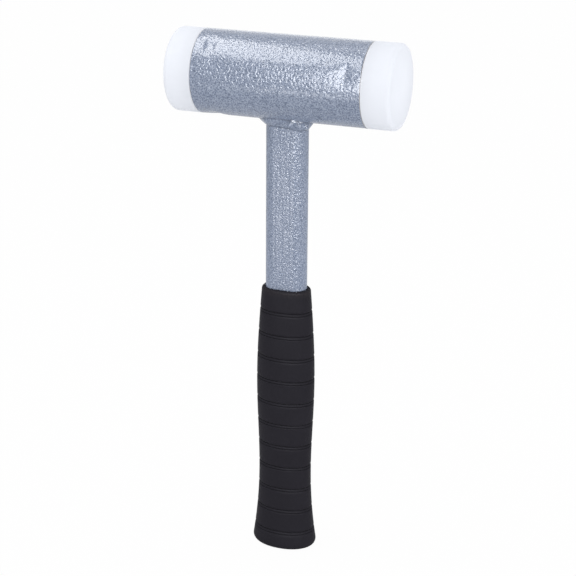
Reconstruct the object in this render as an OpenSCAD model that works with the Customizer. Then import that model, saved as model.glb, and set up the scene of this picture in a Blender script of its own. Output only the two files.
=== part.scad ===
// Recoilless soft-faced hammer, in millimetres.
// The hammer stands on the end of its grip: the handle runs up +Z and the head lies along X.
// The origin is the centre of the grip's flat end.

/* [Head tube] */
// Outside diameter of the head tube and of both faces
head_d = 45; // [40:1:50]
// Length of the head tube between the two faces
head_tube_l = 93.4; // [86:0.2:110]
// Wall thickness of the head tube
head_wall = 2.5; // [2:0.25:3]
// Chamfer on the outer edge of each tube end
head_chamfer = 0.4; // [0.2:0.1:0.8]
// Height of the head's axis above the grip's end
head_height = 275; // [250:1:310]

/* [Faces] */
// Length of each nylon face outside the tube
face_l = 15.6; // [12:0.2:20]
// Rounding of the edge of the strike face
face_edge_r = 2.5; // [0.5:0.1:3]
// Length of the spigot that each face has inside the tube
spigot_l = 18; // [16:0.5:22]
// Radial play between the spigot and the tube's bore
spigot_gap = 0.05; // [0.02:0.01:0.1]
// Thickness of the disc between each spigot and the shot
disc_t = 2; // [1:0.25:3]

/* [Staking dents] */
// Dents round each end of the tube that lock the face in place
stake_count = 3; // [2:1:4]
// Distance of the dents from the end of the tube
stake_inset = 8; // [6:0.5:9]
// Depth of a dent
stake_depth = 1; // [0.4:0.1:1]
// Nose radius of the round punch that made the dents
stake_nose_r = 6.5; // [5:0.5:9]
// Height of the first right dent above the horizontal, in degrees
stake_turn_right = 24; // [0:1:119]
// Height of the first left dent above the horizontal, in degrees
stake_turn_left = 49; // [0:1:119]

/* [Handle tube] */
// Width of the flat-oval handle tube, along the head
shaft_w = 23.4; // [20:0.2:26]
// Thickness of the flat-oval handle tube, across the head
shaft_t = 13.6; // [12:0.2:16]
// Wall thickness of the handle tube
shaft_wall = 2; // [1.5:0.25:2.5]

/* [Weld] */
// Length of the fillet weld's leg along the head tube
weld_leg_head = 3.6; // [2.5:0.1:5]
// Length of the fillet weld's leg down the handle tube
weld_leg_shaft = 2.8; // [2:0.1:4]
// Ripples round the weld bead
weld_ripples = 21; // [0:1:40]
// Height of a ripple
weld_ripple_h = 0.15; // [0:0.05:0.3]

/* [Grip] */
// Length of the rubber grip
grip_l = 158.4; // [140:0.2:170]
// Thickness of the grip's closed end, under the handle tube
grip_floor = 9; // [6:0.5:14]
// Thickness of the rubber at the upper rim
grip_rim_wall = 2.15; // [2:0.05:3]
// Thickness of the rubber at the swell
grip_swell_wall = 5.05; // [4:0.05:7]
// Thickness of the rubber at the waist
grip_waist_wall = 3.65; // [3:0.05:5]
// Thickness of the rubber at the flared end
grip_end_wall = 7.6; // [6:0.05:9]
// Distance of the swell below the upper rim
grip_swell_at = 56; // [45:1:65]
// Distance of the waist below the upper rim
grip_waist_at = 110; // [95:1:118]
// Rounding of the upper rim
grip_rim_r = 1.6; // [1:0.1:1.6]
// Rounding of the lower edge
grip_end_r = 4.2; // [2:0.1:5]
// How much thinner the rubber is over the tube's flats
grip_flat_loss = 0.5; // [0:0.1:1]
// Softness of the grip's oval: 0 keeps the tube's flats, 1 is an ellipse
grip_softness = 0.8; // [0.3:0.05:1]

/* [Grip rings] */
// Distance of the first groove below the upper rim
groove_first = 12.7; // [8:0.1:14]
// Distance from groove to groove
groove_pitch = 13.41; // [8:0.01:20]
// Width of a groove at the surface
groove_w = 2.2; // [2:0.1:2.5]
// Depth of a groove
groove_depth = 0.7; // [0.3:0.05:1]

/* [Shot] */
// Diameter of a ball, as a share of the bore's radius
shot_share = 0.4; // [0.3:0.05:0.4]
// How much of the chamber's length the balls take up
shot_fill = 0.62; // [0.3:0.01:0.75]

/* [Hidden] */
$fn = 96;

steel_blue = "#8f9bb3";
nylon_white = "#eef1f8";
bare_steel = "#b9bcc0";
rubber_black = "#2c2c30";

head_r = head_d / 2;
bore_r = head_r - head_wall;
tube_end = head_tube_l / 2;

// The spigot's groove is wider and deeper than the dents that stand into it
spigot_r = bore_r - spigot_gap;
spigot_chamfer = 1;
shoulder_chamfer = 0.3;
lock_w = 10;
lock_play = 0.6;
lock_depth = stake_depth + lock_play;
disc_play = 0.2;

shaft_r = shaft_t / 2;
shaft_core = (shaft_w - shaft_t) / 2;

// The balls keep clear of the bore and of each other
shot_play = 0.3;
shot_gap = 0.1;
shot_outer = 12;
shot_inner = 6;
shot_inner_gap = 0.9;
shot_d = bore_r * shot_share;
shot_ring_r = bore_r - shot_d / 2 - shot_play;
shot_inner_r = shot_d + shot_inner_gap;
shot_pitch = shot_d + shot_gap;
chamber_l = head_tube_l - 2 * (spigot_l + disc_t);
shot_layers = max(1, floor(shot_fill * chamber_l / shot_pitch));
shot_span = (shot_layers - 0.5) * shot_pitch;

// The weld lies on both tubes, a hairline off them so that its flat facets don't cut into their curves.
// It is full over the handle tube's flats and flat over its rounds.
weld_steps = 104;
weld_hairline = 0.03;
weld_seat_points = 3;
weld_face_points = 5;
weld_end_bulge = 0.1;
weld_flat_bulge = 0.5;

grip_sides = 48;
grip_land_steps = 3;
grip_edge_steps = 5;
grip_neck_l = 25;
grip_rim_softness = 0.3;
groove_slope = 0.95;
groove_margin = 5;
groove_room = grip_l - groove_first - grip_end_r - groove_margin;
groove_count = 1 + floor(groove_room / groove_pitch);

// Outline of the flat-oval tube, grown by a given amount
module flat_oval(grow = 0) {
  square([2 * shaft_core, shaft_t + 2 * grow], center = true);
  for (side = [-1, 1])
    translate([side * shaft_core, 0])
      circle(r = shaft_r + grow);
}

// The space inside the handle tube's outer surface, from the grip's floor to the head's axis
module handle_core() {
  translate([0, 0, grip_floor])
    linear_extrude(head_height - grip_floor)
      flat_oval();
}

// Puts a shape that is turned about Z on the head's axis, with its +Z to the side given
module on_head(side = 1) {
  translate([0, 0, head_height])
    rotate([0, side * 90, 0])
      children();
}

// A bar along the head's axis, as long as the head tube
module head_bar(r) {
  on_head()
    cylinder(r = r, h = head_tube_l, center = true);
}

// A ball at each dent of one end of the tube, round the punch's centre
module stakes(side, turn, r) {
  for (i = [0 : stake_count - 1])
    translate([side * (tube_end - stake_inset), 0, head_height])
      rotate([i * 360 / stake_count - turn, 0, 0])
        translate([0, -(head_r - stake_depth + stake_nose_r), 0])
          sphere(r = r);
}

module all_stakes(r) {
  stakes(1, stake_turn_right, r);
  stakes(-1, stake_turn_left, r);
}

// Steel tube with staking dents pressed through its wall near both ends
module head_tube() {
  color(steel_blue)
    difference() {
      union() {
        on_head()
          rotate_extrude()
            polygon([
              [bore_r, -tube_end],
              [head_r - head_chamfer, -tube_end],
              [head_r, -tube_end + head_chamfer],
              [head_r, tube_end - head_chamfer],
              [head_r - head_chamfer, tube_end],
              [bore_r, tube_end]
            ]);
        intersection() {
          all_stakes(stake_nose_r + head_wall);
          head_bar(head_r - head_wall / 2);
        }
      }
      all_stakes(stake_nose_r);
    }
}

// Nylon face: a flush striking end, and a spigot with a groove for the staking dents
module face(side) {
  lock_top = -stake_inset + lock_w / 2;
  lock_bottom = -stake_inset - lock_w / 2;
  edge = [head_r - face_edge_r, face_l - face_edge_r];
  color(nylon_white)
    on_head(side)
      translate([0, 0, tube_end])
        rotate_extrude() {
          polygon([
            [0, -spigot_l],
            [spigot_r - spigot_chamfer, -spigot_l],
            [spigot_r, -spigot_l + spigot_chamfer],
            [spigot_r, lock_bottom],
            [spigot_r - lock_depth, lock_bottom + lock_depth],
            [spigot_r - lock_depth, lock_top - lock_depth],
            [spigot_r, lock_top],
            [spigot_r, 0],
            [head_r - shoulder_chamfer, 0],
            [head_r, shoulder_chamfer],
            [head_r, edge.y],
            edge,
            [edge.x, face_l],
            [0, face_l]
          ]);
          translate(edge)
            intersection() {
              circle(r = face_edge_r);
              square(face_edge_r);
            }
        }
}

// Steel disc that keeps the shot off the nylon
module disc(side) {
  color(bare_steel)
    on_head(side)
      translate([0, 0, tube_end - spigot_l - disc_t])
        cylinder(r = bore_r - disc_play, h = disc_t);
}

// One layer of balls: an outer ring, then a centre ball and an inner ring half a pitch further on
module shot_layer() {
  for (i = [0 : shot_outer - 1])
    rotate(i * 360 / shot_outer)
      translate([shot_ring_r, 0, 0])
        sphere(d = shot_d);
  translate([0, 0, shot_pitch / 2]) {
    sphere(d = shot_d);
    for (i = [0 : shot_inner - 1])
      rotate(i * 360 / shot_inner + 180 / shot_outer)
        translate([shot_inner_r, 0, 0])
          sphere(d = shot_d);
  }
}

// The loose charge of balls, in the middle of its travel
module steel_shot() {
  color(bare_steel)
    on_head()
      for (i = [0 : shot_layers - 1])
        translate([0, 0, i * shot_pitch - shot_span / 2])
          shot_layer();
}

// Flat-oval steel tube, coped at the top to sit on the head tube
module handle_tube() {
  color(steel_blue)
    difference() {
      translate([0, 0, grip_floor])
        linear_extrude(head_height - grip_floor)
          difference() {
            flat_oval();
            flat_oval(-shaft_wall);
          }
      head_bar(head_r);
    }
}

// Point and outward direction on the flat oval's edge, a share u of the way round it
function oval_edge(u) =
  let (half = floor(2 * u), f = 2 * u - half, s = half == 0 ? 1 : -1)
  let (flat = 2 * shaft_core / (2 * shaft_core + PI * shaft_r))
  f < flat
    ? [[s * shaft_core * (2 * f / flat - 1), -s * shaft_r], [0, -s]]
    : let (a = 180 * ((f - flat) / (1 - flat) + half) - 90, n = [cos(a), sin(a)])
      [[s * shaft_core, 0] + shaft_r * n, n];

// Height of the head tube's underside over a point at y
function underside(y) = head_height - sqrt(head_r * head_r - y * y);

// Point on the head tube's underside, d outside the handle tube's edge
function weld_seat(edge, d) =
  let (q = edge[0] + edge[1] * d)
  [q.x, q.y, underside(q.y) - weld_hairline];

// Section of the weld at a share u round the handle tube: its seat on the head, then its face
function weld_section(u) =
  let (edge = oval_edge(u), n = edge[1])
  let (ripple = weld_ripple_h * cos(360 * weld_ripples * u))
  let (root = weld_seat(edge, weld_hairline))
  let (head_toe = weld_seat(edge, weld_leg_head + ripple))
  let (shaft_toe = root - [0, 0, weld_leg_shaft + ripple])
  let (out = [n.x, n.y, -1] / sqrt(2))
  let (bulge = weld_end_bulge + (weld_flat_bulge - weld_end_bulge) * abs(n.y))
  concat(
    [root],
    [for (i = [1 : weld_seat_points - 1])
      weld_seat(edge, (weld_leg_head + ripple) * i / weld_seat_points)],
    [for (i = [0 : weld_face_points - 1])
      let (f = i / (weld_face_points - 1))
      head_toe + (shaft_toe - head_toe) * f + out * (ripple + bulge) * sin(180 * f)]
  );

// Fillet weld all round the foot of the handle, on the two tubes that it joins
module weld_bead() {
  sections = [for (i = [0 : weld_steps - 1]) weld_section(i / weld_steps)];
  m = len(sections[0]);
  color(steel_blue)
    polyhedron(
      points = [for (s = sections) each s],
      faces = [
        for (i = [0 : weld_steps - 1], j = [0 : m - 1])
          let (i2 = (i + 1) % weld_steps, j2 = (j + 1) % m)
          each [
            [i * m + j, i2 * m + j2, i * m + j2],
            [i * m + j, i2 * m + j, i2 * m + j2]
          ]
      ]
    );
}

// Thickness of the rubber at a distance s below the upper rim: it swells, waists in and flares
function grip_wall(s) =
  s < grip_swell_at
    ? grip_rim_wall + (grip_swell_wall - grip_rim_wall) * sin(90 * s / grip_swell_at)
    : s < grip_waist_at
      ? let (f = (s - grip_swell_at) / (grip_waist_at - grip_swell_at))
        grip_waist_wall + (grip_swell_wall - grip_waist_wall) * (1 + cos(180 * f)) / 2
      : let (f = (s - grip_waist_at) / (grip_l - grip_waist_at))
        grip_waist_wall + (grip_end_wall - grip_waist_wall) * f * f;

// Height of a groove's middle, counted from the top
function groove_z(i) = grip_l - groove_first - i * groove_pitch;

// Stations up the grip, each a height and an inset from the smooth outline
function grip_stations() =
  let (top_land = grip_l - grip_rim_r)
  let (low = groove_z(groove_count - 1) - groove_w / 2)
  concat(
    [for (i = [0 : grip_edge_steps])
      let (a = 90 * i / grip_edge_steps)
      [grip_end_r * (1 - cos(a)), grip_end_r * (1 - sin(a))]],
    [[(grip_end_r + low) / 2, 0]],
    [for (k = [groove_count - 1 : -1 : 0])
      let (z = groove_z(k))
      let (above = k == 0 ? top_land : groove_z(k - 1) - groove_w / 2)
      let (land = above - z - groove_w / 2)
      each concat(
        [
          [z - groove_w / 2, 0],
          [z - groove_w / 2 + groove_slope, groove_depth],
          [z + groove_w / 2 - groove_slope, groove_depth],
          [z + groove_w / 2, 0]
        ],
        [for (j = [1 : grip_land_steps - 1]) [above - land * (1 - j / grip_land_steps), 0]]
      )],
    [for (i = [0 : grip_edge_steps])
      let (a = 90 * i / grip_edge_steps)
      [top_land + grip_rim_r * sin(a), grip_rim_r * (1 - cos(a))]]
  );

// Oval section of the grip at a station: the tube's section, thickened, and softer away from the rim
function grip_section(station) =
  let (s = grip_l - station[0], f = min(1, s / grip_neck_l))
  let (r = shaft_r + grip_wall(s) - station[1])
  let (t = r - grip_flat_loss * f)
  let (soft = grip_rim_softness + (grip_softness - grip_rim_softness) * f)
  [for (j = [0 : grip_sides - 1])
    let (a = 360 * (j + 0.5) / grip_sides, c = cos(a))
    [shaft_core * sign(c) * pow(abs(c), soft) + r * c, t * sin(a), station[0]]];

// Rubber grip: a loft with ring grooves, and a blind hole for the handle tube
module grip() {
  stations = grip_stations();
  n = len(stations);
  m = grip_sides;
  color(rubber_black)
    difference() {
      polyhedron(
        points = [for (s = stations) each grip_section(s)],
        faces = concat(
          [[for (j = [0 : m - 1]) j]],
          [for (i = [0 : n - 2], j = [0 : m - 1])
            let (j2 = (j + 1) % m)
            each [
              [i * m + j, (i + 1) * m + j2, i * m + j2],
              [i * m + j, (i + 1) * m + j, (i + 1) * m + j2]
            ]],
          [[for (j = [m - 1 : -1 : 0]) (n - 1) * m + j]]
        )
      );
      handle_core();
    }
}

head_tube();
face(-1);  // left_face
face(1);  // right_face
disc(-1);  // left_disc
disc(1);  // right_disc
steel_shot();
handle_tube();
weld_bead();
grip();
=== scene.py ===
"""Looks for a recoilless soft-faced hammer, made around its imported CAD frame.

The hammer stands on the end of its grip: the handle runs up +Z and the head lies along X.
Sizes are in metres, in the frame's own axes.
"""

import math

import bpy
import numpy as np
from mathutils import Matrix, Vector


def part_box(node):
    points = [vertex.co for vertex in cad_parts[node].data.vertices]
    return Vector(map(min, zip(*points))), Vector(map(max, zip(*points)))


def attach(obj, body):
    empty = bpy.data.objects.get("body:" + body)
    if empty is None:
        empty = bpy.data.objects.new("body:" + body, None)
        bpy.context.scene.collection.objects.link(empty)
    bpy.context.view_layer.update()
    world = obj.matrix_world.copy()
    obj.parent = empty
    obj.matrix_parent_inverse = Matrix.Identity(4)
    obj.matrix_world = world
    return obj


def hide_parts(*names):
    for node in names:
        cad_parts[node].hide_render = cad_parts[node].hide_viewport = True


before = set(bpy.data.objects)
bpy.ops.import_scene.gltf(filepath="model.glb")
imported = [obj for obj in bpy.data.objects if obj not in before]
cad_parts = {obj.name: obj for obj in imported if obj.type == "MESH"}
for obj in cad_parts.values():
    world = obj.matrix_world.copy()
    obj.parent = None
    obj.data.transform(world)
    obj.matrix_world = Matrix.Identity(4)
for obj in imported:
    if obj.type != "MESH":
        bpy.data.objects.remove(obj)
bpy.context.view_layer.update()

bl_info = {
    "name": "Soft-Faced Hammer",
    "version": (1, 0, 0),
    "blender": (4, 5, 0),
    "location": "3D View > Sidebar > Hammer",
    "description": "Builds the visible pieces of a soft-faced hammer around its CAD frame",
    "category": "Object",
}

MM = 0.001

HEAD_LO, HEAD_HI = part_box("head_tube")
FACE_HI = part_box("right_face")[1]
DISC_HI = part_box("right_disc")[1]
SHAFT_LO, SHAFT_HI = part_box("handle_tube")
GRIP_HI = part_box("grip")[1]

# Points round a loop of each piece, rows over a surface, and points round a small edge.
HEAD_COLUMNS = 256
FACE_COLUMNS = 192
HANDLE_COLUMNS = 200
HANDLE_ROWS = 90
WELD_COLUMNS = 520
WELD_ROWS = 29
GRIP_COLUMNS = 240
EDGE_POINTS = 13
LIP_POINTS = 9

# Longest steps along a section, the room left beside a rounded edge, and where a fan closes a face.
DENT_STEP = 0.65 * MM
FACE_STEP = 1.0 * MM
PLAIN_STEP = 1.5 * MM
RING_STEP = 1.8 * MM
EDGE_ROOM = 0.3 * MM
FLAT_ROOM = 0.2 * MM
FAN_RADIUS = 0.5 * MM

# How far the spigot is chamfered, the handle tube stands in the head and the weld in both.
SPIGOT_CHAMFER = 1.0 * MM
HANDLE_SUNK = 0.1 * MM
WELD_SUNK = 0.25 * MM

# The weld's toes as waves of turns, height and phase, where its shaft leg is longest, and the share of
# that drift that the head leg loses. Angles go round the bead in radians, from the left end of the
# front flat.
HEAD_TOE_WAVES = ((5, 0.12 * MM, 0.4), (9, 0.10 * MM, 2.1), (14, 0.08 * MM, 4.0))
SHAFT_TOE_WAVES = ((4, 0.10 * MM, 1.0), (7, 0.10 * MM, 3.3), (17, 0.06 * MM, 0.2))
DRIFT_AT = 1.4
HEAD_DRIFT = 0.3

# How dark the shade painted into the toe on the head is, and its width as a share of the bead's.
HEAD_TOE_SHADE = 0.7
TOE_SHADE_WIDTH = 0.08

# Where the weld stopped: the angles over which the stop rises and falls, and how it fills the bead.
STOP_FROM = 0.75
STOP_RISE = 0.35
STOP_UNTIL = 1.45
STOP_FALL = 0.5
CROWN_SHIFT = 0.25
ARCH_POWER = 0.8
ARCH_FILL = 0.3

# Ripples: how much they bend and wander, and their height away from the stop.
RIPPLE_BEND = 1.6
RIPPLE_WANDER = 0.8
RIPPLE_LOW = 0.2

# Drops on the stop: the angle and size of each, their place across the bead, and their reach.
DROPS = ((0.93, 1.05), (1.36, 0.9), (1.65, 0.95))
DROP_ACROSS = 0.33
DROP_LONG = 0.11
DROP_WIDE = 0.16

# The grip: the floor of a groove over its mouth, the ragged rim, the rings of its flat end, and the
# bore with its loops below the rim and under the tube.
FLOOR_SHARE = 0.9
RIM_WAVES = ((23, 0.07 * MM, 0.3), (37, 0.08 * MM, 1.9), (53, 0.08 * MM, 4.4), (79, 0.07 * MM, 2.6))
END_SHARES = (0.2, 0.5, 0.8, 0.95)
BORE_PLAY = 0.04 * MM
BORE_SOFTNESS = 0.1
BORE_MOUTH = 0.4 * MM
BORE_NECK = 6 * MM
BORE_SPARE = 0.1 * MM

# Ramps in the finishes, as stops of a place from 0 to 1 and the share there, and the places at which
# the paint's hollows and flakes are full and where they meet.
RIDGE_STOPS = ((0.36, 0.0), (0.56, 1.0))
# The seam and rim stops ramp the shade painted into the nylon.
SEAM_SHADE_STOPS = ((0.0, 1.0), (0.23, 0.62), (0.46, 0.28), (0.7, 0.09), (1.0, 0.0))
RIM_SHADE_STOPS = ((0.15, 0.0), (1.0, 0.9))
EVEN_STOPS = ((0.0, 0.0), (1.0, 1.0))
BLOOM_STOPS = ((0.35, 0.0), (0.7, 1.0))
DUST_STOPS = ((0.1, 0.0), (0.25, 1.0), (0.5, 0.6), (1.0, 0.0))
PATCH_STOPS = ((0.36, 0.15), (0.6, 1.0))
HOLLOW_FULL = 0.30
FLAKE_MIDDLE = 0.50
CREST_FULL = 0.70

# Distances in the finishes: the thin paint at the tube's ends, how far the nylon's painted shade
# reaches from the seam and round the strike face's rim, how far the dust reaches, and the least shaded
# spot of the strike face, across and above the head's axis.
BARE_WIDTH = 0.25 * MM
SEAM_SHADE_FADE = 13 * MM
RIM_SHADE_FADE = 2.5 * MM
DUST_REACH = 4 * MM
UNSHADED_ACROSS = -4 * MM
UNSHADED_UP = 4 * MM

# Scale of the draw lines' noise down the handle, which makes them long.
DRAW_SCALE = 0.03


def length(name, description, default):
    """A size in metres."""
    return bpy.props.FloatProperty(
        name=name, description=description, default=default,
        min=0.0, precision=5, subtype="DISTANCE", unit="LENGTH",
    )


def angle(name, description, degrees):
    """An angle, given in degrees and kept in radians."""
    return bpy.props.FloatProperty(
        name=name, description=description, default=math.radians(degrees),
        subtype="ANGLE", unit="ROTATION",
    )


def colour(name, description, default):
    """A linear RGB colour."""
    return bpy.props.FloatVectorProperty(
        name=name, description=description, default=default,
        size=3, min=0.0, max=1.0, subtype="COLOR",
    )


def factor(name, description, default):
    """A share from 0 to 1."""
    return bpy.props.FloatProperty(
        name=name, description=description, default=default,
        min=0.0, max=1.0, subtype="FACTOR",
    )


def power(name, description, default):
    """The power of a light, in watts."""
    return bpy.props.FloatProperty(
        name=name, description=description, default=default, min=0.0, unit="POWER",
    )


def count(name, description, default):
    """A whole number."""
    return bpy.props.IntProperty(name=name, description=description, default=default, min=0)


class HammerHead(bpy.types.PropertyGroup):
    """Sizes of the head tube and of its staking dents."""

    radius: length("Radius", "Outside radius of the head tube", (HEAD_HI.z - HEAD_LO.z) / 2)
    half: length("Half Length", "Half the length of the head tube", HEAD_HI.x)
    height: length("Height", "Height of the head's axis", (HEAD_HI.z + HEAD_LO.z) / 2)
    wall: length("Wall", "Wall thickness of the head tube", 2.5 * MM)
    edge: length("Edge", "Rounding of the tube's outer edges", 0.4 * MM)
    dents: count("Dents", "Staking dents round each end", 3)
    dent_inset: length("Dent Inset", "Distance of the dents from the end", 8.6 * MM)
    dent_depth: length("Dent Depth", "Depth of a dent", 0.7 * MM)
    dent_reach: length("Dent Reach", "Half the width of a dent along the head", 2.6 * MM)
    dent_stretch: factor("Dent Stretch", "Width of a dent along the head over its width round it", 0.66)
    dent_tip: length("Dent Tip", "Rounding of a dent's tip", 0.4 * MM)
    dent_lip: length("Dent Lip", "Softness of a dent's lip", 0.12 * MM)
    dish_depth: length("Dish Depth", "Depth of the dish that the wall takes round a dent", 0.3 * MM)
    dish_reach: length("Dish Reach", "Radius of the dish round a dent", 9 * MM)
    dent_turn_right: angle("Right Turn", "Height of the first right dent above the front", 24)
    dent_turn_left: angle("Left Turn", "Height of the first left dent above the front", 49)


class HammerFace(bpy.types.PropertyGroup):
    """Sizes of the two nylon faces."""

    end: length("End", "Distance of the strike face from the middle of the head", FACE_HI.x)
    edge: length("Edge", "Rounding of the edge of the strike face", 2.5 * MM)
    shoulder: length("Shoulder", "Chamfer beside the end of the tube", 0.3 * MM)
    spigot: length("Spigot", "Length of the spigot inside the tube", HEAD_HI.x - DISC_HI.x)
    play: length("Play", "Radial play of the spigot in the bore", 0.05 * MM)
    lock_width: length("Lock Width", "Width of the groove that the dents stand in", 10 * MM)
    lock_depth: length("Lock Depth", "Depth of the groove that the dents stand in", 1.6 * MM)


class HammerHandle(bpy.types.PropertyGroup):
    """Sizes of the flat-oval handle tube and of its weld."""

    width: length("Width", "Width of the handle tube along the head", SHAFT_HI.x - SHAFT_LO.x)
    thick: length("Thickness", "Thickness of the handle tube", SHAFT_HI.y - SHAFT_LO.y)
    wall: length("Wall", "Wall thickness of the handle tube", 2 * MM)
    foot: length("Foot", "Height of the tube's lower end inside the grip", SHAFT_LO.z)
    leg_head: length("Head Leg", "Leg of the weld along the head tube", 3.6 * MM)
    leg_shaft: length("Shaft Leg", "Leg of the weld down the handle tube", 3.8 * MM)
    leg_drift: length("Leg Drift", "How much longer the shaft leg is at the right", 1.0 * MM)
    end_bulge: length("End Bulge", "How far the bead stands proud over the tube's rounds", 0.1 * MM)
    flat_bulge: length("Flat Bulge", "How far the bead stands proud over the tube's flats", 0.4 * MM)
    stop_rise: length("Stop Rise", "How much fuller the bead is where the weld stopped", 0.6 * MM)
    drop_rise: length("Drop Rise", "Height of the three drops on the bead", 1.5 * MM)
    ripple: length("Ripple", "Height of the bead's ripples", 0.3 * MM)
    ripples: count("Ripples", "Ripples round the bead", 15)


class HammerGrip(bpy.types.PropertyGroup):
    """Sizes of the rubber grip."""

    length: length("Length", "Length of the grip", GRIP_HI.z)
    rim_wall: length("Rim Wall", "Thickness of the rubber at the upper rim", 2.15 * MM)
    swell_wall: length("Swell Wall", "Thickness of the rubber at the swell", 5.05 * MM)
    waist_wall: length("Waist Wall", "Thickness of the rubber at the waist", 3.65 * MM)
    end_wall: length("End Wall", "Thickness of the rubber at the flared end", 7.6 * MM)
    swell_at: length("Swell At", "Distance of the swell below the rim", 56 * MM)
    waist_at: length("Waist At", "Distance of the waist below the rim", 110 * MM)
    neck: length("Neck", "Distance over which the oval softens below the rim", 25 * MM)
    flat_loss: length("Flat Loss", "How much thinner the rubber is over the flats", 0.5 * MM)
    softness: factor("Softness", "0 keeps the tube's flats and 1 is an ellipse", 0.8)
    rim_softness: factor("Rim Softness", "Softness of the oval at the rim", 0.3)
    rim_radius: length("Rim Radius", "Rounding of the upper rim", 1.6 * MM)
    end_radius: length("End Radius", "Rounding of the lower edge", 4.2 * MM)
    grooves: count("Grooves", "Ring grooves down the grip", 11)
    groove_first: length("First Groove", "Distance of the first groove below the rim", 12.7 * MM)
    groove_pitch: length("Groove Pitch", "Distance from groove to groove", 13.41 * MM)
    groove_width: length("Groove Width", "Width of a groove between its rounded lips", 0.25 * MM)
    groove_depth: length("Groove Depth", "Depth of a groove", 0.9 * MM)
    lip_radius: length("Lip Radius", "Rounding of the two lips of a groove", 1.2 * MM)
    lip_turn: angle("Lip Turn", "Slope at which a rounded lip ends in the groove", 60.0)
    line_width: length("Line Width", "Width of the fine line under each groove", 0.6 * MM)
    line_depth: length("Line Depth", "Depth of the fine line under each groove", 0.55 * MM)


class HammerColours(bpy.types.PropertyGroup):
    """Colours of the finishes."""

    paint: colour("Paint", "Body of the hammertone paint", (0.213, 0.250, 0.345))
    paint_flake: colour("Flake", "Light flakes in the hammertone paint", (0.293, 0.340, 0.434))
    paint_gap: colour("Gap", "Dark hollows in the hammertone paint", (0.113, 0.146, 0.215))
    # Painted shade: the colour the paint darkens to in the weld's toes, where shade falls.
    painted_crease_shade: colour("Crease", "Paint in the toes of the weld", (0.085, 0.105, 0.150))
    bare_edge: colour("Bare Edge", "Thin paint at the ends of the head tube", (0.30, 0.29, 0.29))
    nylon: colour("Nylon", "Body of the nylon faces", (0.785, 0.81, 0.87))
    nylon_shade: colour("Nylon Shade", "Cloudy patches in the nylon", (0.77, 0.795, 0.855))
    # Painted shade: the nylon darkens to this towards the seam and round the strike face's rim.
    nylon_painted_shade: colour("Nylon Seam", "Nylon at the seam and the shaded rim", (0.700, 0.722, 0.778))
    rubber: colour("Rubber", "Body of the rubber grip", (0.0174, 0.0165, 0.0211))
    rubber_bloom: colour("Bloom", "Grey bloom on the rubber", (0.0206, 0.0196, 0.0249))
    dust: colour("Dust", "Dust under the rim of the grip", (0.0285, 0.0258, 0.0292))
    steel: colour("Steel", "Bright steel of the shot and discs", (0.56, 0.57, 0.58))
    steel_shade: colour("Steel Shade", "Oiled patches on the steel", (0.40, 0.41, 0.42))
    floor: colour("Floor", "Floor under the hammer", (0.77, 0.77, 0.77))


class HammerStage(bpy.types.PropertyGroup):
    """Light and framing."""

    ambient: factor("Ambient", "Strength of the white surround on matt surfaces", 0.95)
    floor_glow: factor("Floor Glow", "Share of plain white in the floor as the camera sees it", 0.97)
    floor_half: length("Floor Half Width", "Half the width of the floor", 8.0)
    top_light: power("Top Light", "Power of the light above the head", 1.45)
    front_light: power("Front Light", "Power of the light in front", 2.6)
    side_light: power("Side Light", "Power of the fill at the right", 2.2)
    top_glint: power("Top Glint", "Power of the strip light that glints along the head", 2.1)
    front_glint: power("Front Glint", "Power of the tall light that glints on the front", 5.3)
    low_glint: power("Low Glint", "Power of the low light that glints on the handle tube", 0.21)
    edge_glint: power("Edge Glint", "Power of the light that glints on the handle's right edge", 0.16)
    right_glint: power("Right Glint", "Power of the small light that glints on the weld", 1.4)
    back_glint: power("Back Glint", "Power of the light that glints along the top of the head", 1.2)
    rim_glint: power("Rim Glint", "Power of the low light behind that glints on the top edge", 0.75)
    lens: bpy.props.FloatProperty(
        name="Lens", description="Focal length on a 36 mm sensor, in millimetres",
        default=94.30, min=1.0, unit="CAMERA",
    )
    eye: bpy.props.FloatVectorProperty(
        name="Eye", description="Place of the camera", size=3,
        default=(0.27367, -0.73038, 0.44578), subtype="XYZ", unit="LENGTH",
    )
    yaw: angle("Yaw", "Turn of the camera to the right of +Y", -20.476)
    pitch: angle("Pitch", "Tilt of the camera above the level", -20.293)
    roll: angle("Roll", "Turn of the camera about its own axis", 0.449)


class HammerSettings(bpy.types.PropertyGroup):
    """Everything a user may change."""

    head: bpy.props.PointerProperty(type=HammerHead)
    face: bpy.props.PointerProperty(type=HammerFace)
    handle: bpy.props.PointerProperty(type=HammerHandle)
    grip: bpy.props.PointerProperty(type=HammerGrip)
    colours: bpy.props.PointerProperty(type=HammerColours)
    stage: bpy.props.PointerProperty(type=HammerStage)


def smooth_step(t):
    """Rises from 0 to 1 over t from 0 to 1 as 3t squared less 2t cubed."""
    t = np.clip(t, 0.0, 1.0)
    return t * t * (3.0 - 2.0 * t)


def quarter_round(centre, radius, start, steps=7):
    """Points on a quarter circle round a centre, anticlockwise from the start angle in degrees."""
    turn = np.radians(np.linspace(start, start + 90.0, steps))
    return np.column_stack((centre[0] + radius * np.cos(turn), centre[1] + radius * np.sin(turn)))


def subdivided(points, longest):
    """A broken line whose pieces are cut evenly so that none is longer than a given length."""
    points = np.asarray(points, float)
    spans = np.linalg.norm(np.diff(points, axis=0), axis=1)
    parts = np.maximum(1, np.ceil(spans / longest).astype(int))
    pieces = [
        a + (b - a) * np.linspace(0.0, 1.0, n, endpoint=False)[:, None]
        for a, b, n in zip(points[:-1], points[1:], parts)
    ]
    return np.vstack(pieces + [points[-1:]])


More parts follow.
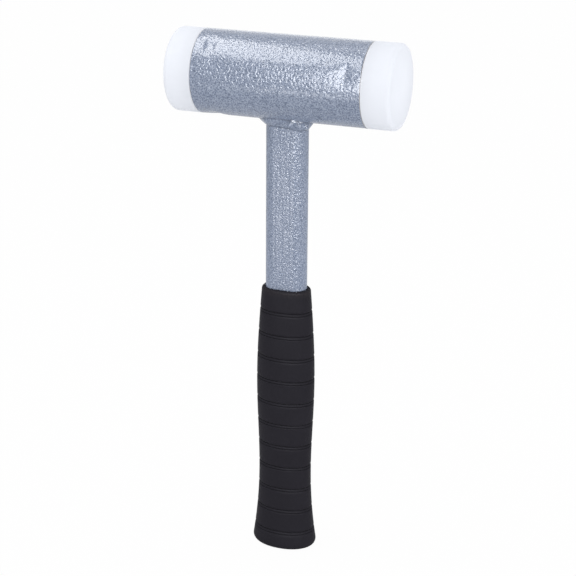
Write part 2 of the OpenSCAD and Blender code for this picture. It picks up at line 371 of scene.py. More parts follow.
def add_piece(name, grid, finish, nodes, ring=False, crease=None):
    """Makes one piece from a grid of points and hangs it on the hammer's body.

    Each row of the grid is a closed loop, and the rows follow each other over the surface.
    With ring the last row joins the first, and otherwise a fan closes each end at its middle.
    Where given, each point's share of painted shade is kept with the points for the finish to read.
    """
    rows, columns = grid.shape[:2]
    index = np.arange(rows * columns).reshape(rows, columns)
    lower = index if ring else index[:-1]
    upper = np.roll(index, -1, axis=0) if ring else index[1:]
    quads = np.stack((lower, np.roll(lower, -1, 1), np.roll(upper, -1, 1), upper), axis=-1)
    points = grid.reshape(-1, 3)
    faces = quads.reshape(-1, 4).tolist()
    if not ring:
        first, last = index[0], index[-1]
        tip = np.full(columns, len(points))
        points = np.vstack((points, grid[0].mean(axis=0), grid[-1].mean(axis=0)))
        faces += np.stack((tip, np.roll(first, -1), first), axis=-1).tolist()
        faces += np.stack((tip + 1, last, np.roll(last, -1)), axis=-1).tolist()
    mesh = bpy.data.meshes.new(name)
    mesh.from_pydata(points.tolist(), [], faces)
    mesh.validate()
    mesh.shade_smooth()
    # Keep each point's share of painted shade with the points.
    if crease is not None:
        mesh.attributes.new("crease", "FLOAT", "POINT").data.foreach_set("value", crease.ravel())
    mesh.materials.append(finish)
    piece = bpy.data.objects.new(name, mesh)
    bpy.context.scene.collection.objects.link(piece)
    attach(piece, "hammer")
    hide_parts(*nodes)


def round_head(profile, head, columns, radius_change=None):
    """Carries a profile of axial and radial distances round the head's axis.

    A point at angle t is (axial, radial times cos t, height plus radial times sin t).
    radius_change gives the metres to take off the radius, from both distances and the angle.
    """
    turn = np.linspace(0.0, 2.0 * math.pi, columns, endpoint=False)
    axial = np.repeat(profile[:, :1], columns, axis=1)
    radial = np.repeat(profile[:, 1:], columns, axis=1)
    if radius_change is not None:
        radial = radial - radius_change(axial, radial, turn[None, :])
    return np.stack(
        (axial, radial * np.cos(turn), head.height + radial * np.sin(turn)), axis=-1
    )


def dent_depth(head, axial, radial, turn):
    """Depth of the staking dents at a place on the head tube.

    Each dent is an oval cone whose tip is rounded to a hyperbola and whose lip is softened by a
    root of depth squared plus lip squared. Round it the wall is dished by depth times (1 less the
    square of the distance share) squared, less and less towards the bore. The front of the head is
    at the angle pi, and a dent's height above it is counted upwards.
    """
    slope = head.dent_depth / head.dent_reach
    dish = head.dish_depth * (1.0 - (head.radius - radial) / head.wall)
    depth = np.zeros(axial.shape)
    for side, first in ((1.0, head.dent_turn_right), (-1.0, head.dent_turn_left)):
        for i in range(head.dents):
            middle = math.pi - first + i * 2.0 * math.pi / head.dents
            around = np.angle(np.exp(1j * (turn - middle))) * head.radius
            along = axial - side * (head.half - head.dent_inset)
            away = np.hypot(around, along)
            oval = np.hypot(around * head.dent_stretch, along)
            cone = head.dent_depth + head.dent_tip - np.hypot(head.dent_tip, slope * oval)
            depth += (cone + np.hypot(cone, head.dent_lip)) / 2.0
            depth += dish * (1.0 - np.clip(away / head.dish_reach, 0.0, 1.0) ** 2) ** 2
    return depth


def head_tube_grid(head):
    """The head tube: outer wall, rounded right edge, bore and rounded left edge as one closed loop."""
    bore = head.radius - head.wall
    shoulder = head.half - head.edge
    lip = head.radius - head.edge
    right = quarter_round((shoulder, lip), head.edge, 0.0)[::-1]
    left = quarter_round((-shoulder, lip), head.edge, 90.0)[::-1]
    reach = shoulder - EDGE_ROOM
    outer = subdivided([(-reach, head.radius), (reach, head.radius)], DENT_STEP)
    inner = subdivided([(head.half, bore), (-head.half, bore)], PLAIN_STEP)
    profile = np.vstack((outer, right, inner, left))
    return round_head(profile, head, HEAD_COLUMNS, lambda *place: dent_depth(head, *place))


def face_grid(face, head, side):
    """A nylon face: spigot, lock groove, shoulder, flush side, rounded edge and strike face."""
    bore = head.radius - head.wall - face.play
    start = head.half
    middle = start - head.dent_inset
    groove = face.lock_depth
    half_groove = face.lock_width / 2
    spigot = [
        (start - face.spigot, FAN_RADIUS),
        (start - face.spigot, bore - SPIGOT_CHAMFER),
        (start - face.spigot + SPIGOT_CHAMFER, bore),
        (middle - half_groove, bore),
        (middle - half_groove + groove, bore - groove),
        (middle + half_groove - groove, bore - groove),
        (middle + half_groove, bore),
        (start, bore),
        (start, head.radius - face.shoulder),
        (start + face.shoulder, head.radius),
        (start + 2.0 * face.shoulder, head.radius),
        (face.end - face.edge - face.shoulder, head.radius),
    ]
    centre = (face.end - face.edge, head.radius - face.edge)
    edge = quarter_round(centre, face.edge, 0.0, EDGE_POINTS)[::-1]
    flat = [
        (face.end, head.radius - face.edge - FLAT_ROOM),
        (face.end, FAN_RADIUS),
    ]
    profile = np.vstack((subdivided(spigot, FACE_STEP), edge, subdivided(flat, PLAIN_STEP)))
    profile[:, 0] *= side
    return round_head(profile if side > 0 else profile[::-1], head, FACE_COLUMNS)


def oval_edge(handle, share):
    """Points and outward directions round the flat oval, at shares of its length.

    The oval is two flats joined by two half circles, and starts at the left end of the front flat.
    """
    radius = handle.thick / 2
    core = (handle.width - handle.thick) / 2
    half = np.floor(2.0 * share)
    along = 2.0 * share - half
    sign = 1.0 - 2.0 * half
    flat = 2.0 * core / (2.0 * core + math.pi * radius)
    on_flat = along < flat
    turn = np.where(on_flat, -0.5, (along - flat) / (1.0 - flat) - 0.5) * math.pi + half * math.pi
    normal = np.stack((np.cos(turn), np.sin(turn)), axis=-1)
    middle = np.where(on_flat, core * (2.0 * along / flat - 1.0), core) * sign
    place = np.stack((middle, np.zeros_like(middle)), axis=-1) + radius * normal
    return place, normal


def underside(head, y):
    """Height of the head tube's underside over y: the axis less the root of radius and y squared."""
    return head.height - np.sqrt(head.radius ** 2 - y ** 2)


def handle_tube_grid(handle, head):
    """The handle tube: outer wall up to the cope, then the inner wall down again, as a closed loop.

    Each loop is the flat oval, inset by the wall, and its height goes from the foot to the
    head's underside over that point, so the upper edge follows the head. The inner wall has a
    third of the rows.
    """
    share = np.linspace(0.0, 1.0, HANDLE_COLUMNS, endpoint=False)
    place, normal = oval_edge(handle, share)
    rise = np.linspace(0.0, 1.0, HANDLE_ROWS)
    loops = []
    for inset, shares in ((0.0, rise), (handle.wall, rise[::-3])):
        outline = place - inset * normal
        top = underside(head, outline[:, 1]) + HANDLE_SUNK
        height = handle.foot + shares[:, None] * (top - handle.foot)
        flat = np.broadcast_to(outline, (len(shares),) + outline.shape)
        loops.append(np.dstack((flat, height)))
    return np.vstack(loops)


def wander(turn, *waves):
    """A closed uneven wave: the sum of height times the cosine of turns times angle plus phase."""
    return sum(height * np.cos(turns * turn + phase) for turns, height, phase in waves)


def weld_grid(handle, head):
    """The weld bead: a fillet section carried round the flat oval, and each point's share of a toe.

    The toes wander along both tubes. The face between them is a sine bulge, fuller over the
    flats, with crescent ripples. Where the weld stopped, at the front right, it stands highest, with
    drops on it, each as high as a bell curve of its distances along and across the bead.
    A point's share of a toe is shade painted into the toes, wider on the head where the weld stopped.
    """
    share = np.linspace(0.0, 1.0, WELD_COLUMNS, endpoint=False)
    place, normal = oval_edge(handle, share)
    turn = 2.0 * math.pi * share
    drift = np.cos(turn - DRIFT_AT)
    lump = wander(turn, *HEAD_TOE_WAVES)
    sag = wander(turn, *SHAFT_TOE_WAVES)
    head_leg = handle.leg_head - HEAD_DRIFT * handle.leg_drift * drift + lump
    shaft_leg = handle.leg_shaft + handle.leg_drift * drift + sag

    def seat(out):
        flat = place + normal * out[:, None]
        return np.column_stack((flat, underside(head, flat[:, 1])))

    head_toe = seat(head_leg)
    shaft_toe = seat(np.zeros_like(share)) - shaft_leg[:, None] * np.array((0.0, 0.0, 1.0))
    outward = np.column_stack((normal, -np.ones_like(share))) / math.sqrt(2.0)
    up = np.array((0.0, 0.0, WELD_SUNK))
    inward = np.column_stack((normal, np.zeros_like(share))) * WELD_SUNK
    face = np.linspace(0.0, 1.0, WELD_ROWS)[:, None]
    rising = smooth_step((turn - STOP_FROM) / STOP_RISE)
    falling = smooth_step((turn - STOP_UNTIL) / STOP_FALL)
    stop = rising * (1.0 - falling)
    crown = face ** (1.0 - CROWN_SHIFT * stop)
    arch = np.sin(math.pi * crown) ** (ARCH_POWER - ARCH_FILL * stop)
    bulge = handle.end_bulge + (handle.flat_bulge - handle.end_bulge) * np.abs(normal[:, 1])
    crescent = RIPPLE_BEND * np.sin(math.pi * crown)
    phase = handle.ripples * turn + crescent + RIPPLE_WANDER * np.sin(3.0 * turn)
    wave = handle.ripple * (RIPPLE_LOW + (1.0 - RIPPLE_LOW) * stop) * np.cos(phase)
    drops = sum(
        size * np.exp(-((turn - at) / DROP_LONG) ** 2 - ((face - DROP_ACROSS) / DROP_WIDE) ** 2)
        for at, size in DROPS
    )
    fill = bulge + handle.stop_rise * stop + lump / 2.0 + wave
    height = fill * arch + handle.drop_rise * drops
    body = head_toe + (shaft_toe - head_toe) * face[:, :, None] + outward * height[:, :, None]
    root = seat(np.full_like(share, -WELD_SUNK)) + up
    grid = np.concatenate(((shaft_toe - inward)[None], root[None], (head_toe + up)[None], body))
    # Painted shade in both toes of the weld, wider on the head where the weld stopped; the three root
    # rows are fully shaded.
    toe_shade = HEAD_TOE_SHADE * np.exp(-(face / (TOE_SHADE_WIDTH * (1.0 + stop))) ** 2)
    toe_shade += np.exp(-((1.0 - face) / (2.0 * TOE_SHADE_WIDTH)) ** 2)
    return grid[::-1], np.concatenate((np.ones((3, len(share))), toe_shade))[::-1]


def grip_wall(grip, below):
    """Thickness of the rubber at a distance below the rim.

    It grows as a quarter sine to the swell, falls as half a cosine to the waist, then flares
    as a square to the end.
    """
    rise = np.sin(0.5 * math.pi * np.clip(below / grip.swell_at, 0.0, 1.0))
    fall = (below - grip.swell_at) / (grip.waist_at - grip.swell_at)
    flare = np.clip((below - grip.waist_at) / (grip.length - grip.waist_at), 0.0, 1.0)
    upper = grip.rim_wall + (grip.swell_wall - grip.rim_wall) * rise
    middle = grip.waist_wall + (grip.swell_wall - grip.waist_wall) * (1 + np.cos(math.pi * fall)) / 2
    lower = grip.waist_wall + (grip.end_wall - grip.waist_wall) * flare ** 2
    return np.where(below < grip.swell_at, upper, np.where(below < grip.waist_at, middle, lower))


def groove_profile(grip):
    """Half the section of a groove, from its middle outwards: distances and insets.

    The floor is flat, a straight wall rises from it, and the lip is an arc of the lip's radius
    that starts at the lip's turn and ends flush with the ring.
    """
    turn = np.linspace(grip.lip_turn, 0.0, LIP_POINTS)
    slot = grip.groove_width / 2
    reach = slot + grip.lip_radius * math.sin(grip.lip_turn)
    distance = reach - grip.lip_radius * np.sin(turn)
    inset = grip.lip_radius * (1.0 - np.cos(turn))
    return np.vstack(((FLOOR_SHARE * slot, grip.groove_depth), np.column_stack((distance, inset))))


def grip_stations(grip):
    """Heights up the outside of the grip, close together at the grooves, with the inset at each.

    Each groove has a fine line under its lower lip, as deep as one less its cosine.
    """
    ring = grip.length - grip.groove_first - grip.groove_pitch * np.arange(grip.grooves)
    half = groove_profile(grip)
    across = np.linspace(0.0, 1.0, LIP_POINTS)
    line = np.column_stack((
        -half[-1, 0] - grip.line_width * across[::-1],
        grip.line_depth * (1.0 - np.cos(2.0 * math.pi * across)) / 2,
    ))
    one = np.vstack((line, half[-2::-1] * np.array((-1.0, 1.0)), half))
    near = np.tile(one, (len(ring), 1))
    near[:, 0] += np.repeat(ring, len(one))
    lands = np.arange(grip.end_radius, grip.length - grip.rim_radius, RING_STEP)
    reach = half[-1, 0] + grip.line_width + EDGE_ROOM
    clear = np.abs(lands[:, None] - ring[None, :]).min(axis=1) > reach
    flush = np.column_stack((lands[clear], np.zeros(clear.sum())))
    body = np.vstack((near, flush))
    body = body[np.argsort(body[:, 0])]
    turn = np.radians(np.linspace(0.0, 90.0, EDGE_POINTS))
    foot = np.column_stack((1.0 - np.cos(turn), 1.0 - np.sin(turn))) * grip.end_radius
    rim = np.column_stack((np.sin(turn), 1.0 - np.cos(turn))) * grip.rim_radius
    rim[:, 0] += grip.length - grip.rim_radius
    return np.vstack((foot, body[body[:, 0] > foot[-1, 0] + FLAT_ROOM], rim))


def grip_grid(grip, handle):
    """The rubber grip: flat end, rounded edge, ringed side, rounded rim and the bore for the tube.

    A loop at angle t is (core times the sign and power of cos t, plus radius times cos t) across
    the flats and (radius less the flat loss) times sin t through them.
    """
    turn = 2.0 * math.pi * (np.arange(GRIP_COLUMNS) + 0.5) / GRIP_COLUMNS
    across = np.cos(turn)
    radius = handle.thick / 2
    core = (handle.width - handle.thick) / 2
    station = grip_stations(grip)
    height, inset = station[:, :1], station[:, 1:]
    below = grip.length - height
    share = np.clip(below / grip.neck, 0.0, 1.0)
    out = radius + grip_wall(grip, below) - inset
    thick = out - grip.flat_loss * share
    soft = grip.rim_softness + (grip.softness - grip.rim_softness) * share
    side = np.stack(
        (
            core * np.sign(across) * np.abs(across) ** soft + out * across,
            thick * np.sin(turn),
            np.broadcast_to(height, (len(height), len(turn))),
        ),
        axis=-1,
    )
    side[:, :, 2] += wander(turn, *RIM_WAVES) * np.clip(1.0 - below / grip.rim_radius, 0.0, 1.0)
    end = side[0] * np.array(END_SHARES)[:, None, None]
    mouth = radius + BORE_PLAY
    wide = core * np.sign(across) * np.abs(across) ** BORE_SOFTNESS + mouth * across
    bore = np.stack((wide, mouth * np.sin(turn)), axis=-1)
    levels = np.array((grip.length - BORE_MOUTH, grip.length - BORE_NECK, handle.foot - BORE_SPARE))
    inner = np.concatenate(
        (
            np.broadcast_to(bore, (len(levels),) + bore.shape),
            np.broadcast_to(levels[:, None, None], (len(levels), GRIP_COLUMNS, 1)),
        ),
        axis=-1,
    )
    return np.concatenate((end, side, inner))


class Value:
    """A shader socket that can stand in a Python expression."""

    def __init__(self, shader, socket):
        self.shader = shader
        self.socket = socket

    def math(self, operation, *values):
        """Joins values with a Math node."""
        inputs = dict(enumerate(values))
        return self.shader.add("ShaderNodeMath", {"operation": operation}, inputs)

    def __add__(self, other):
        return self.math("ADD", self, other)

    def __radd__(self, other):
        return self.math("ADD", other, self)

    def __sub__(self, other):
        return self.math("SUBTRACT", self, other)

    def __rsub__(self, other):
        return self.math("SUBTRACT", other, self)

    def __mul__(self, other):
        return self.math("MULTIPLY", self, other)

    def __abs__(self):
        return self.math("ABSOLUTE", self)

    def __gt__(self, other):
        return self.math("GREATER_THAN", self, other)


class Shader:
    """The node tree of one finish or of the world."""

    def __init__(self, tree):
        self.tree = tree
        self.tree.nodes.clear()

    def add(self, kind, settings=None, inputs=None, out=0):
        """Adds a node, sets it up, then fills its sockets with values or links."""
        node = self.tree.nodes.new(kind)
        for key, value in (settings or {}).items():
            if key == "stops":
                self.set_stops(node.color_ramp, value)
            else:
                setattr(node, key, value)
        for key, value in (inputs or {}).items():
            socket = node.inputs[key]
            if isinstance(value, Value):
                self.tree.links.new(value.socket, socket)
            else:
                socket.default_value = self.fitted(value)
        return Value(self, node.outputs[out]) if node.outputs else node

    @staticmethod
    def fitted(value):
        """A colour as four numbers, or any other value as it is."""
        if isinstance(value, (int, float, Vector)):
            return value
        numbers = tuple(value)
        return numbers + (1.0,) if len(numbers) == 3 else numbers

    @staticmethod
    def set_stops(ramp, stops):
        """Puts (place, grey) stops on a ramp."""
        while len(ramp.elements) < len(stops):
            ramp.elements.new(1.0)
        for element, (place, grey) in zip(ramp.elements, stops):
            element.position = place
            element.color = (grey, grey, grey, 1.0)

    def blend(self, share, first, second):
        """Mixes two colours."""
        return self.add(
            "ShaderNodeMix", {"data_type": "RGBA"}, {0: share, 6: first, 7: second}, out=2
        )

    def ramp(self, value, *stops):
        """Maps a value through a grey ramp with (place, grey) stops."""
        return self.add("ShaderNodeValToRGB", {"stops": stops}, {0: value})

    def object_place(self):
        """Object coordinates."""
        return self.add("ShaderNodeTexCoord", out="Object")

    def axis(self, place, name):
        """One coordinate of a place."""
        return self.add("ShaderNodeSeparateXYZ", inputs={0: place}, out=name)

    def noise(self, place, size, detail=2.0, roughness=0.5):
        """Noise with lumps of a size in metres."""
        return self.add(
            "ShaderNodeTexNoise",
            inputs={"Vector": place, "Scale": 1.0 / size, "Detail": detail, "Roughness": roughness},
        )

    def bump(self, height, distance, strength=1.0):
        """Turns a height into a normal, with a distance in metres."""
        inputs = {"Height": height, "Distance": distance, "Strength": strength}
        return self.add("ShaderNodeBump", inputs=inputs)

    def finish(self, **sockets):
        """Ends a material in a Principled shader."""
        inputs = {key.replace("_", " "): value for key, value in sockets.items()}
        surface = self.add("ShaderNodeBsdfPrincipled", inputs=inputs)
        self.add("ShaderNodeOutputMaterial", inputs={"Surface": surface})


def new_finish(name):
    """A new material and its shader."""
    material = bpy.data.materials.new(name)
    material.use_nodes = True
    return material, Shader(material.node_tree)


def hammertone(name, colours, relief, size, fleck=1.0, bare_from=None, shade_creases=False, drawn=0.0):
    """Hammertone paint: a glossy skin of worm-like ridges over a fine maze of light and dark flakes.

    Relief is the height of the ridges, which have flat tops, and size their width. Fleck is the
    share of the flakes and hollows that shows. Beyond bare_from along the head the paint thins to a
    grey edge, and where asked, shade is painted into the piece's creases as a darker paint. Drawn
    is the height of faint draw lines down the handle over that of the ridges.
    """
    material, shader = new_finish(name)
    place = shader.object_place()
    ridges = shader.ramp(shader.noise(place, size, detail=0.2), *RIDGE_STOPS)
    if drawn:
        scale = Vector((1.0, 1.0, DRAW_SCALE))
        long_place = shader.add("ShaderNodeMapping", inputs={"Vector": place, "Scale": scale})
        ridges = ridges + shader.noise(long_place, size=1.4 * MM, detail=0.0) * drawn
    maze = shader.noise(place, size=0.68 * MM, detail=0.0)
    cloud = shader.noise(place, size=5.0 * MM)
    hollow = shader.ramp(maze, (HOLLOW_FULL, fleck), (FLAKE_MIDDLE, 0.0))
    crest = shader.ramp(maze, (FLAKE_MIDDLE, 0.0), (CREST_FULL, fleck))
    body = shader.blend(crest, colours.paint, colours.paint_flake)
    paint = shader.blend(hollow, body, colours.paint_gap)
    if bare_from is not None:
        along = abs(shader.axis(place, "X"))
        paint = shader.blend(along > bare_from, paint, colours.bare_edge)
    # Painted shade: the paint darkens towards the crease colour by the share of shade kept with the
    # points.
    if shade_creases:
        crease = shader.add("ShaderNodeAttribute", {"attribute_name": "crease"}, out="Fac")
        paint = shader.blend(crease, paint, colours.painted_crease_shade)
    shader.finish(
        Base_Color=paint,
        Metallic=0.0,
        IOR=1.5,
        Roughness=0.16 + cloud * 0.06,
        Normal=shader.bump(ridges, relief),
    )
    return material


def nylon(name, colours, head, face):
    """Moulded nylon: faintly cloudy, and darker in two places.

    Shade is painted into its colour towards the seam, where light is lost into the tube, and round
    the rim of the strike face, most towards the back and the bottom.
    """
    material, shader = new_finish(name)
    place = shader.object_place()
    cloud = shader.noise(place, size=9.0 * MM, detail=3.0)
    grain = shader.noise(place, size=0.5 * MM)
    along = abs(shader.axis(place, "X"))
    # The rim's painted shade grows away from an unshaded spot off the axis, and only near the strike
    # face.
    across = shader.axis(place, "Y") - UNSHADED_ACROSS
    up = shader.axis(place, "Z") - (head.height + UNSHADED_UP)
    seam = shader.ramp((along - head.half) * (1.0 / SEAM_SHADE_FADE), *SEAM_SHADE_STOPS)
    rim = shader.ramp((across * across + up * up) * head.radius ** -2, *RIM_SHADE_STOPS)
    end = shader.ramp((along - face.end) * (1.0 / RIM_SHADE_FADE) + 1.0, *EVEN_STOPS)
    body = shader.blend(cloud, colours.nylon, colours.nylon_shade)
    shader.finish(
        # Painted shade: the seam's and the rim's shade darken the nylon towards its shade colour.
        Base_Color=shader.blend(seam + rim * end, body, colours.nylon_painted_shade),
        Roughness=0.42 + grain * 0.14,
        Specular_IOR_Level=0.015,
        Subsurface_Weight=0.03,
        Subsurface_Radius=Vector((1.0, 1.0, 1.0)),
        Subsurface_Scale=4.0 * MM,
        Normal=shader.bump(grain, distance=0.02 * MM, strength=0.5),
    )
    return material


def rubber(name, colours, grip):
    """Black moulded rubber with a fine matt grain, a faint grey bloom and dust under its rim."""
    material, shader = new_finish(name)
    place = shader.object_place()
    grain = shader.noise(place, size=0.35 * MM, detail=3.0, roughness=0.6)
    bloom = shader.noise(place, size=14.0 * MM, detail=3.0)
    share = shader.ramp(bloom * 0.6 + grain * 0.4, *BLOOM_STOPS)
    body = shader.blend(share, colours.rubber, colours.rubber_bloom)
    below = (grip.length - shader.axis(place, "Z")) * (1.0 / DUST_REACH)
    patches = shader.ramp(shader.noise(place, size=1.1 * MM), *PATCH_STOPS)
    dust = shader.ramp(below, *DUST_STOPS) * patches
    shader.finish(
        Base_Color=shader.blend(dust, body, colours.dust),
        Roughness=0.42 + grain * 0.1,
        Specular_IOR_Level=0.025,
        Sheen_Weight=0.03,
        Sheen_Roughness=0.35,
        Normal=shader.bump(grain, distance=0.015 * MM, strength=0.6),
    )
    return material


def bright_steel(name, colours):
    """Bright steel with oily patches and fine scratches."""
    material, shader = new_finish(name)
    place = shader.object_place()
    patch = shader.noise(place, size=6.0 * MM, detail=3.0)
    scratch = shader.noise(place, size=0.3 * MM)
    shader.finish(
        Base_Color=shader.blend(patch, colours.steel, colours.steel_shade),
        Metallic=1.0,
        Roughness=0.22 + scratch * 0.2,
        Normal=shader.bump(scratch, distance=0.01 * MM, strength=0.4),
    )
    return material


class HAMMER_OT_head_tube(bpy.types.Operator):
    """Make the painted head tube with its staking dents"""

    bl_idname = "hammer.head_tube"
    bl_label = "Head Tube"

    def execute(self, context):
        hammer = context.scene.hammer
        paint = hammertone(
            "hammertone_head", hammer.colours, relief=0.105 * MM, size=1.35 * MM,
            bare_from=hammer.head.half - BARE_WIDTH,
        )
        add_piece(
            "painted_head_tube", head_tube_grid(hammer.head), paint,
            ["head_tube"], ring=True,
        )
        return {"FINISHED"}


class HAMMER_OT_faces(bpy.types.Operator):
    """Make the two nylon faces"""

    bl_idname = "hammer.faces"
    bl_label = "Nylon Faces"

    def execute(self, context):
        hammer = context.scene.hammer
        finish = nylon("white_nylon", hammer.colours, hammer.head, hammer.face)
        for side, node in ((1.0, "right_face"), (-1.0, "left_face")):
            grid = face_grid(hammer.face, hammer.head, side)
            add_piece("nylon_" + node, grid, finish, [node])
        return {"FINISHED"}


class HAMMER_OT_handle_tube(bpy.types.Operator):
    """Make the flat-oval handle tube"""

    bl_idname = "hammer.handle_tube"
    bl_label = "Handle Tube"

    def execute(self, context):
        hammer = context.scene.hammer
        grid = handle_tube_grid(hammer.handle, hammer.head)
        paint = hammertone(
            "hammertone_handle", hammer.colours, relief=0.11 * MM, size=1.0 * MM, fleck=0.85, drawn=1.8,
        )
        add_piece("painted_handle_tube", grid, paint, ["handle_tube"], ring=True)
        return {"FINISHED"}


class HAMMER_OT_weld(bpy.types.Operator):
    """Make the weld bead between the handle and the head"""

    bl_idname = "hammer.weld"
    bl_label = "Weld Bead"

    def execute(self, context):
        hammer = context.scene.hammer
        # The weld's mesh carries the shade painted into its toes, and its paint reads it.
        grid, toe_shade = weld_grid(hammer.handle, hammer.head)
        paint = hammertone(
            "hammertone_weld", hammer.colours, relief=0.025 * MM, size=1.05 * MM, shade_creases=True,
        )
        add_piece(
            "painted_weld_bead", grid, paint, ["weld_bead"], ring=True, crease=toe_shade,
        )
        return {"FINISHED"}


class HAMMER_OT_grip(bpy.types.Operator):
    """Make the ringed rubber grip"""

    bl_idname = "hammer.grip"
    bl_label = "Rubber Grip"

    def execute(self, context):
        hammer = context.scene.hammer
        grid = grip_grid(hammer.grip, hammer.handle)
        finish = rubber("black_rubber", hammer.colours, hammer.grip)
        add_piece("ringed_grip", grid, finish, ["grip"])
        return {"FINISHED"}


class HAMMER_OT_charge(bpy.types.Operator):
    """Give the hidden shot and discs their steel finish"""

    bl_idname = "hammer.charge"
    bl_label = "Shot and Discs"

    def execute(self, context):
        finish = bright_steel("bright_steel", context.scene.hammer.colours)
        for node in ("steel_shot", "left_disc", "right_disc"):
            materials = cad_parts[node].data.materials
            materials.clear()
            materials.append(finish)
        return {"FINISHED"}


def seen_white(shader):
    """1 on camera, glossy and transmission rays, which all see the plain white surround."""
    path = shader.tree.nodes.new("ShaderNodeLightPath")
    rays = ("Is Camera Ray", "Is Glossy Ray", "Is Transmission Ray")
    camera, glossy, through = (Value(shader, path.outputs[ray]) for ray in rays)
    return camera.math("MAXIMUM", camera.math("MAXIMUM", camera, glossy), through)


def add_floor(stage, colours):
    """A wide pale floor that keeps the hammer's shadow, white to the camera and matt to the hammer."""
    half = stage.floor_half
    mesh = bpy.data.meshes.new("floor")
    corners = [(-half, -half, 0.0), (half, -half, 0.0), (half, half, 0.0), (-half, half, 0.0)]
    mesh.from_pydata(corners, [], [(0, 1, 2, 3)])
    material, shader = new_finish("pale_floor")
    matt = shader.add("ShaderNodeBsdfDiffuse", inputs={"Color": colours.floor})
    white = shader.add("ShaderNodeEmission", inputs={"Strength": 1.0})
    share = shader.add("ShaderNodeLightPath", out="Is Camera Ray") * stage.floor_glow
    surface = shader.add("ShaderNodeMixShader", inputs={0: share, 1: matt, 2: white})
    shader.add("ShaderNodeOutputMaterial", inputs={"Surface": surface})
    mesh.materials.append(material)
    floor = bpy.data.objects.new("floor", mesh)
    bpy.context.scene.collection.objects.link(floor)


def add_world(stage):
    """White to the eye and in reflections, and a softer white on matt surfaces."""
    world = bpy.data.worlds.new("white_surround")
    bpy.context.scene.world = world
    world.use_nodes = True
    shader = Shader(world.node_tree)
    seen = seen_white(shader)
    strength = seen + (1.0 - seen) * stage.ambient
    surround = shader.add("ShaderNodeBackground", inputs={"Color": (1, 1, 1), "Strength": strength})
    shader.add("ShaderNodeOutputWorld", inputs={"Surface": surround})


def add_softbox(name, place, target, width, height, watts, glossy):
    """An area light that faces a point, and either shows in reflections or lights matt surfaces."""
    lamp = bpy.data.lights.new(name, "AREA")
    lamp.shape = "RECTANGLE"
    lamp.size = width
    lamp.size_y = height
    lamp.energy = watts
    softbox = bpy.data.objects.new(name, lamp)
    softbox.location = place
    softbox.rotation_euler = (Vector(target) - Vector(place)).to_track_quat("-Z", "Y").to_euler()
    softbox.visible_glossy = glossy
    softbox.visible_diffuse = not glossy
    softbox.visible_camera = False
    bpy.context.scene.collection.objects.link(softbox)


def add_camera(stage):
    """A camera turned by its yaw, pitch and roll."""
    lens = bpy.data.cameras.new("camera")
    lens.lens = stage.lens
    lens.sensor_width = 36.0
    lens.clip_start = 0.01
    ahead = Vector((
        math.sin(stage.yaw) * math.cos(stage.pitch),
        math.cos(stage.yaw) * math.cos(stage.pitch),
        math.sin(stage.pitch),
    ))
    level = Vector((math.cos(stage.yaw), -math.sin(stage.yaw), 0.0))
    upright = level.cross(ahead)
    right = math.cos(stage.roll) * level + math.sin(stage.roll) * upright
    up = math.cos(stage.roll) * upright - math.sin(stage.roll) * level
    camera = bpy.data.objects.new("camera", lens)
    turn = Matrix((right, up, -ahead)).transposed().to_4x4()
    camera.matrix_world = Matrix.Translation(Vector(stage.eye)) @ turn
    bpy.context.scene.collection.objects.link(camera)
    bpy.context.scene.camera = camera


# Each light's name, place, width and height, and whether it shows in reflections. Its power is the
# setting of the same name.
LIGHTS = (
    ("top_light", (-0.42, -0.12, 1.05), 0.45, 0.40, False),
    ("front_light", (0.02, -1.05, 0.12), 0.24, 0.60, False),
    ("side_light", (0.95, -0.08, 0.20), 0.70, 0.30, False),
    ("top_glint", (-0.164, -0.073, 0.622), 0.41, 0.18, True),
    ("front_glint", (0.062, -0.372, 0.365), 0.32, 0.40, True),
    ("low_glint", (-0.14, -0.46, 0.052), 0.14, 0.095, True),
    ("edge_glint", (0.33, -0.36, 0.10), 0.10, 0.16, True),
    ("right_glint", (0.40, -0.29, 0.295), 0.26, 0.10, True),
    ("back_glint", (0.08, 0.22, 0.85), 0.55, 0.45, True),
    ("rim_glint", (0.0, 0.80, 0.42), 1.20, 0.30, True),
)


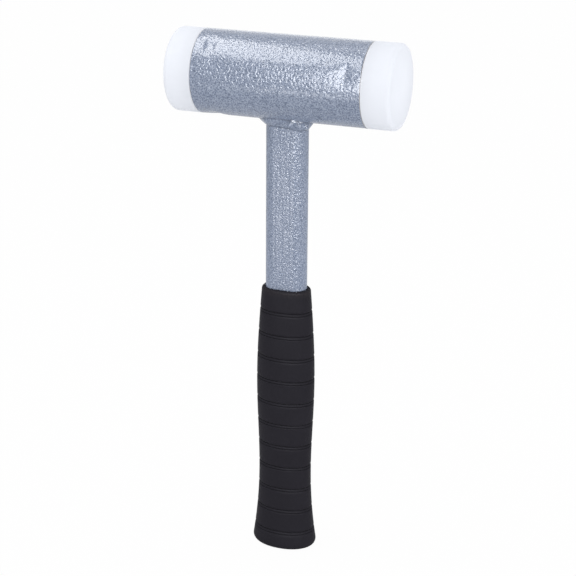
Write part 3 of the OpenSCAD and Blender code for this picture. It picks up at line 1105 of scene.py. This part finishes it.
class HAMMER_OT_stage(bpy.types.Operator):
    """Make the floor, the surround, the lights and the camera"""

    bl_idname = "hammer.stage"
    bl_label = "Stage"

    def execute(self, context):
        hammer = context.scene.hammer
        stage = hammer.stage
        context.scene.view_settings.view_transform = "Standard"
        add_floor(stage, hammer.colours)
        add_world(stage)
        head = (0.0, 0.0, hammer.head.height)
        for name, place, width, height, glossy in LIGHTS:
            add_softbox(name, place, head, width, height, getattr(stage, name), glossy)
        add_camera(stage)
        return {"FINISHED"}


class HAMMER_PT_pieces(bpy.types.Panel):
    """Buttons for the hammer's pieces and their sizes"""

    bl_idname = "HAMMER_PT_pieces"
    bl_label = "Soft-Faced Hammer"
    bl_space_type = "VIEW_3D"
    bl_region_type = "UI"
    bl_category = "Hammer"

    def draw(self, context):
        for operator in OPERATORS:
            self.layout.operator(operator.bl_idname)
        hammer = context.scene.hammer
        for group in ("head", "face", "handle", "grip", "colours", "stage"):
            box = self.layout.box()
            box.label(text=group.title())
            settings = getattr(hammer, group)
            for key in settings.__annotations__:
                box.prop(settings, key)


OPERATORS = (
    HAMMER_OT_head_tube,
    HAMMER_OT_faces,
    HAMMER_OT_handle_tube,
    HAMMER_OT_weld,
    HAMMER_OT_grip,
    HAMMER_OT_charge,
    HAMMER_OT_stage,
)

CLASSES = (
    HammerHead,
    HammerFace,
    HammerHandle,
    HammerGrip,
    HammerColours,
    HammerStage,
    HammerSettings,
    *OPERATORS,
    HAMMER_PT_pieces,
)


def register():
    """Registers the classes and hangs the settings on the scene."""
    for item in CLASSES:
        bpy.utils.register_class(item)
    bpy.types.Scene.hammer = bpy.props.PointerProperty(type=HammerSettings)


def unregister():
    """Takes the settings and the classes away again."""
    del bpy.types.Scene.hammer
    for item in reversed(CLASSES):
        bpy.utils.unregister_class(item)


def main():
    register()
    bpy.ops.hammer.head_tube()
    bpy.ops.hammer.faces()
    bpy.ops.hammer.handle_tube()
    bpy.ops.hammer.weld()
    bpy.ops.hammer.grip()
    bpy.ops.hammer.charge()
    bpy.ops.hammer.stage()


if __name__ == "__main__":
    main()
